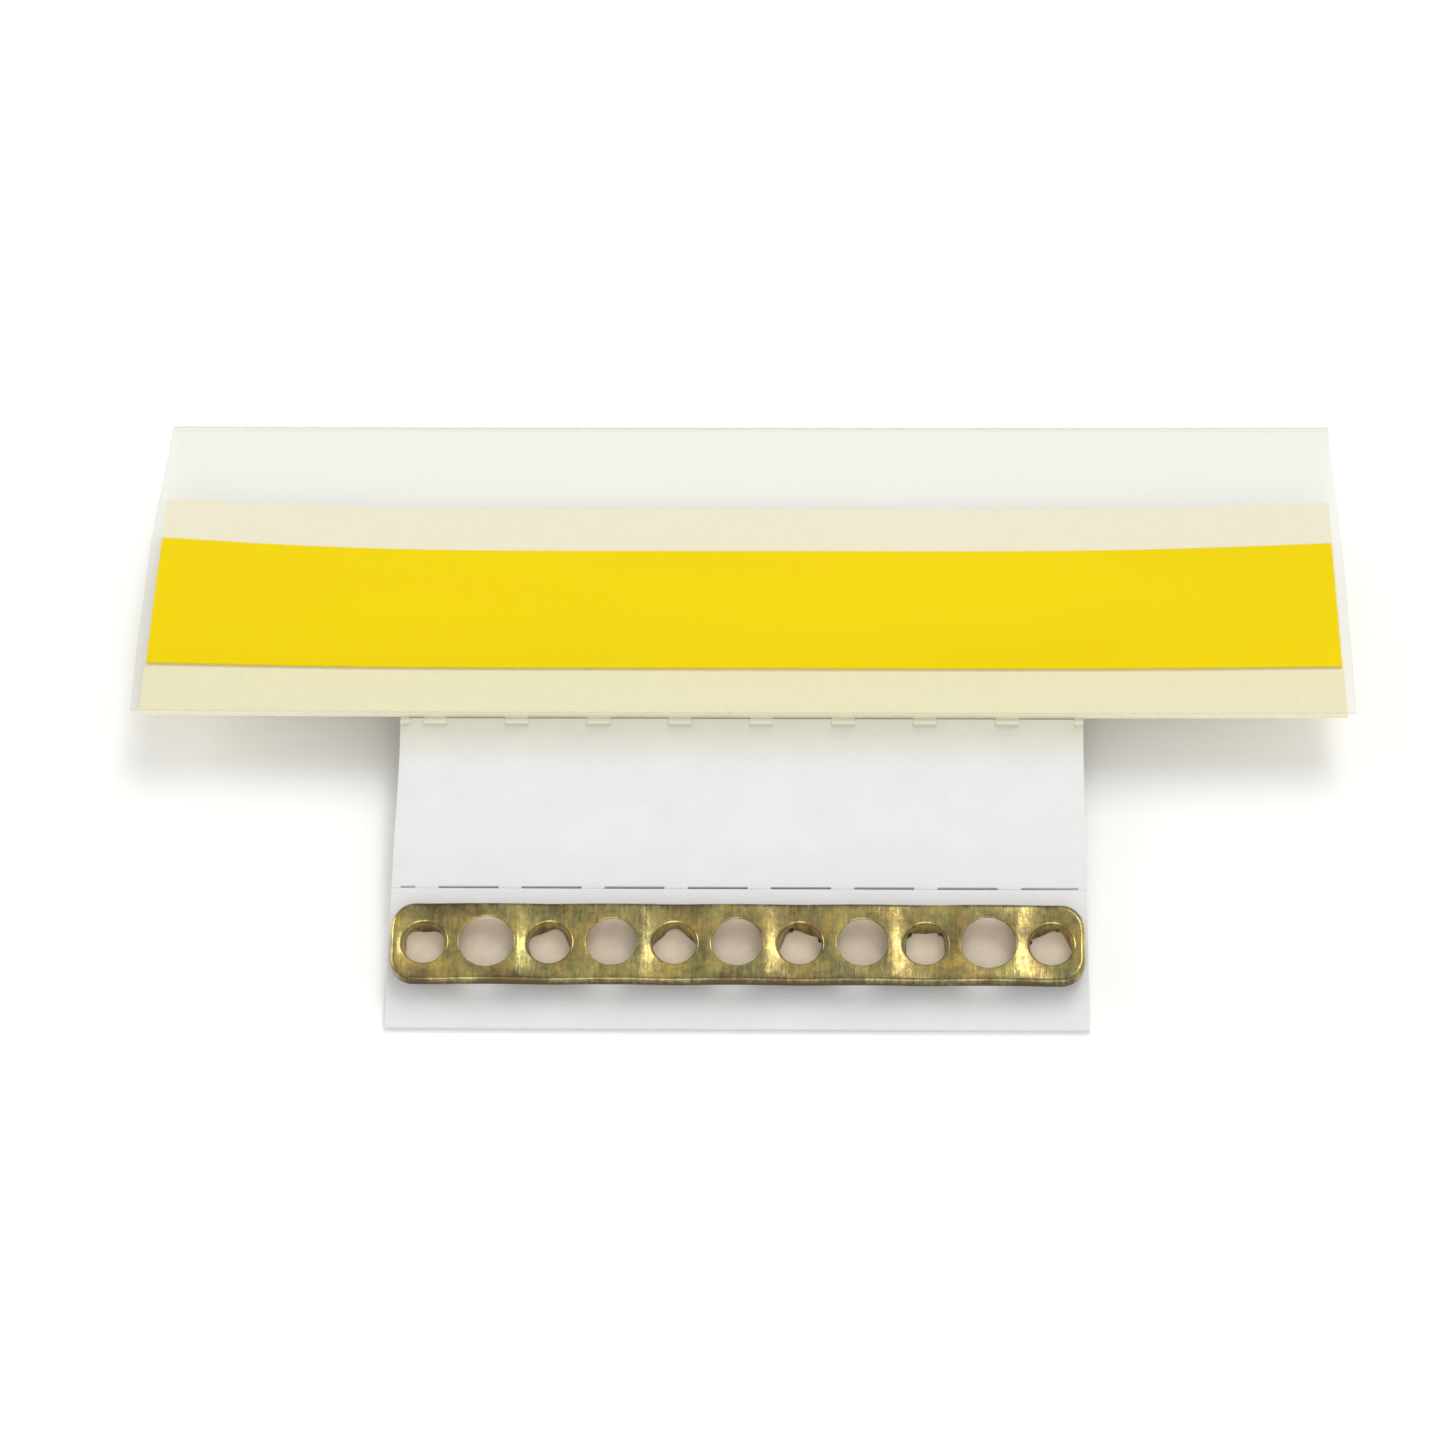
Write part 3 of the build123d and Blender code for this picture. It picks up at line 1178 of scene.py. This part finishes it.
        def punch() -> None:
            """Adds the rounded square outline of the punch at the eyelet's foot."""
            bpy.ops.mesh.primitive_plane_add(size=self.square * MM)
            square = bpy.context.view_layer.objects.active
            with editing(square, "VERT"):
                bpy.ops.mesh.select_all(action="SELECT")
                bpy.ops.mesh.bevel(offset=self.square_corner * MM, segments=self.square_cuts,
                                   affect="VERTICES")
                bpy.ops.mesh.select_all(action="SELECT")
                bpy.ops.mesh.delete(type="ONLY_FACE")
            straight = (self.square - 2 * self.square_corner) * MM
            self._subdivide(square, lambda edge: edge.calc_length() > straight - TOUCH,
                            self.side_cuts - self.square_cuts)
            square.rotation_euler.z = math.radians(turn)
            square.location = (x * MM, 0, foot)

        self._ring(piece, punch, self.wall_cuts)
        corner = (self.square / math.sqrt(2) - self.square_corner * (math.sqrt(2) - 1)) * MM
        for lift, reach in self.petal_steps:
            with editing(piece, "VERT"):
                pick(piece, lambda v, r=reach: v.co.z < foot + TOUCH and
                     math.hypot(v.co.x - x * MM, v.co.y) > corner - r * MM, "verts")
                bpy.ops.transform.translate(value=(0, 0, lift * MM))
        return piece

    def _roll_rim(self, clip: bpy.types.Object) -> None:
        """Draws the plate's open edge out and down round its rolled rim.

        Args:
            clip: The open skin of the whole plate.
        """
        half = (self.length / 2 - self.rim_radius, self.width / 2 - self.rim_radius)
        with editing(clip):
            pick(clip, lambda edge: edge.is_boundary and all(v.co.z > -TOUCH / 4 for v in edge.verts))
            for step in range(self.rim_cuts):
                low, high = (math.pi / 2 * (step + k) / self.rim_cuts for k in (0, 1))
                down = self.rim_radius * (math.cos(low) - math.cos(high)) * MM
                grow = [(side + self.rim_radius * math.sin(high)) / (side + self.rim_radius * math.sin(low))
                        for side in half]
                bpy.ops.mesh.extrude_edges_move(TRANSFORM_OT_translate={"value": (0, 0, -down)})
                bpy.ops.transform.resize(value=(*grow, 1), center_override=(0, 0, 0))
            rest = (self.rim_drop - self.rim_radius) * MM
            bpy.ops.mesh.extrude_edges_move(TRANSFORM_OT_translate={"value": (0, 0, -rest)})

    def _sag(self, x: float, y: float) -> float:
        """How far the plate is drawn down round its eyelets.

        Args:
            x: The place along the clip.
            y: The place across it.

        Returns:
            The lift, which is below zero.
        """
        last = self.eyelets / 2 - 0.5
        nearest = min(last, max(-last, math.floor(x / self.pitch) + 0.5)) * self.pitch
        return -self.dish * math.exp(-(math.hypot(x - nearest, self.dish_oval * y) / self.dish_reach) ** 2)

    def build(self) -> bpy.types.Object:
        """Models the whole clip and lays it on the strip.

        Returns:
            The clip.
        """
        cells = []
        holes = 2 * self.eyelets - 1
        for index in range(holes):
            x = self.pitch / 2 * (index - (holes - 1) / 2)
            if index % 2 == 0:
                end = {0: -1, holes - 1: 1}.get(index, 0)
                cells.append(self._eyelet(x, end, self.petal_turn * index / 2))
            else:
                bore = self.pilot if index in (1, holes - 2) else self.plain
                mouth = self._rounding(bore / 2, self.roll_over, self.roll_over, self.plain_cuts)
                cells.append(self._cell(x, 0, mouth))
        clip = cells[0]
        only(clip)
        for cell in cells:
            cell.select_set(True)
        bpy.ops.object.join()
        with editing(clip):
            bpy.ops.mesh.select_all(action="SELECT")
            bpy.ops.mesh.remove_doubles(threshold=TOUCH)
        self._roll_rim(clip)
        with editing(clip, "FACE"):
            bpy.ops.mesh.select_all(action="SELECT")
            bpy.ops.mesh.normals_make_consistent(inside=False)
        cage = lattice((self.length, self.width), (0, 0), (2 * round(self.length) + 1, 7), self._sag)
        modify(clip, "LATTICE", object=cage)
        bpy.data.objects.remove(cage)
        modify(clip, "SOLIDIFY", thickness=self.thick * MM, offset=-1.0, use_even_offset=False)
        only(clip)
        bpy.ops.object.shade_smooth_by_angle(angle=math.radians(self.smooth))
        clip.location = (0, -self.middle * MM, (self.seat + self.height) * MM)
        bpy.ops.object.transform_apply(location=True, rotation=True, scale=True)
        lay(clip, Panel.TAB)
        return clip

    def dress(self, clip: bpy.types.Object) -> None:
        """Gives the clip its brass and its body, and the patch under it its adhesive.

        Args:
            clip: The finished clip.
        """
        place = panel_matrix(Panel.TAB)
        centre = place @ Vector((0, -self.middle * MM, (self.seat + self.height) * MM))
        _, along, up = (centre.dot(axis) / MM for axis in place.to_3x3().col)
        brass = StampedBrass(lean=-place.to_euler().x, middle=along, top=up, half_width=self.width / 2)
        dress(clip, brass.material())
        hand_over(clip, "clip", "brass_clip")
        adhesive = Adhesive("low_tack_adhesive", "E9DBC5", "E2D1BB").material()
        for slot in frame["nodes"]["clip_adhesive"].material_slots:
            slot.material = adhesive


# ---------------------------------------------------------------- the studio


@dataclass(frozen=True)
class SoftLight:
    """A soft rectangular light that faces the object, and that shiny surfaces mirror or not."""

    name: str
    place: tuple[float, float, float]
    size: tuple[float, float]
    watts: float
    mirrored: bool = True
    white: str = "FFFEFA"

    def build(self) -> None:
        """Adds the light to the scene."""
        data = bpy.data.lights.new(self.name, "AREA")
        data.shape = "RECTANGLE"
        data.size, data.size_y = (side * MM for side in self.size)
        data.energy = self.watts
        data.color = linear(self.white)[:3]
        light = bpy.data.objects.new(self.name, data)
        bpy.context.scene.collection.objects.link(light)
        light.location = Vector(self.place) * MM
        light.visible_glossy = self.mirrored
        light.rotation_euler = Vector(self.place).to_track_quat("Z", "Y").to_euler()


@dataclass
class Studio:
    """A pale table, soft lights, surroundings that are brighter on the right, and the camera."""

    elevation: float = 53.29
    azimuth: float = 2.73
    roll: float = -2.05
    distance: float = 158.91
    aim: tuple[float, float] = (-0.675, -0.272)
    lens: float = 119.0
    clip_start: float = 1.0
    table: float = 8000.0
    table_drop: float = 0.01
    surround: str = "FDFDFD"
    surround_left: float = 0.475
    surround_right: float = 0.765
    lights: tuple[SoftLight, ...] = (
        SoftLight("key", (80, 260, 310), (240, 200), 0.57, mirrored=False),
        SoftLight("glint", (115, 130, 370), (100, 100), 0.13),
        SoftLight("left", (-300, 100, 150), (180, 180), 0.24),
        SoftLight("front", (30, -320, 260), (300, 240), 0.42),
    )

    def _camera(self) -> None:
        """Adds the camera."""
        height, side = math.radians(self.elevation), math.radians(self.azimuth)
        away = Vector((math.sin(side) * math.cos(height), -math.cos(side) * math.cos(height),
                       math.sin(height)))
        right = (-away).cross(Vector((0, 0, 1))).normalized()
        up = right.cross(-away)
        turn = math.radians(self.roll)
        across = right * math.cos(turn) + up * math.sin(turn)
        upward = up * math.cos(turn) - right * math.sin(turn)
        data = bpy.data.cameras.new("camera")
        data.lens = self.lens
        data.clip_start = self.clip_start * MM
        camera = bpy.data.objects.new("camera", data)
        bpy.context.scene.collection.objects.link(camera)
        where = Vector((*self.aim, 0)) * MM + away * self.distance * MM
        camera.matrix_world = Matrix.Translation(where) @ Matrix((across, upward, away)).transposed().to_4x4()
        bpy.context.scene.camera = camera

    def _surroundings(self) -> None:
        """Adds the soft white surroundings, which change in strength from left to right."""
        world = bpy.data.worlds.new("studio")
        world.use_nodes = True
        tree = world.node_tree
        place = add(tree, "ShaderNodeTexCoord").outputs["Generated"]
        side = add(tree, "ShaderNodeSeparateXYZ", {"Vector": place}).outputs["X"]
        strength = add(tree, "ShaderNodeMapRange",
                       span(side, -0.5, 0.5, self.surround_left, self.surround_right))
        back = tree.nodes["Background"]
        back.inputs["Color"].default_value = linear(self.surround)
        tree.links.new(strength.outputs["Result"], back.inputs["Strength"])
        bpy.context.scene.world = world

    def build(self) -> None:
        """Adds the table, the lights, the surroundings and the camera."""
        floor = primitive("table", bpy.ops.mesh.primitive_plane_add, (self.table * MM, self.table * MM, 1),
                          (0, 0, -self.table_drop * MM), size=1.0)
        dress(floor, TableLaminate().material())
        for light in self.lights:
            light.build()
        self._surroundings()
        bpy.context.scene.view_settings.view_transform = "Standard"
        self._camera()


def main() -> None:
    """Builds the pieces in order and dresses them."""
    logging.basicConfig(level=logging.INFO, format="%(name)s: %(message)s")
    sheet = Sheet()
    sheet.dress(sheet.build())
    tab = PaperTab()
    tab.dress(tab.build())
    clip = BrassClip()
    clip.dress(clip.build())
    Studio().build()


if __name__ == "__main__":
    main()
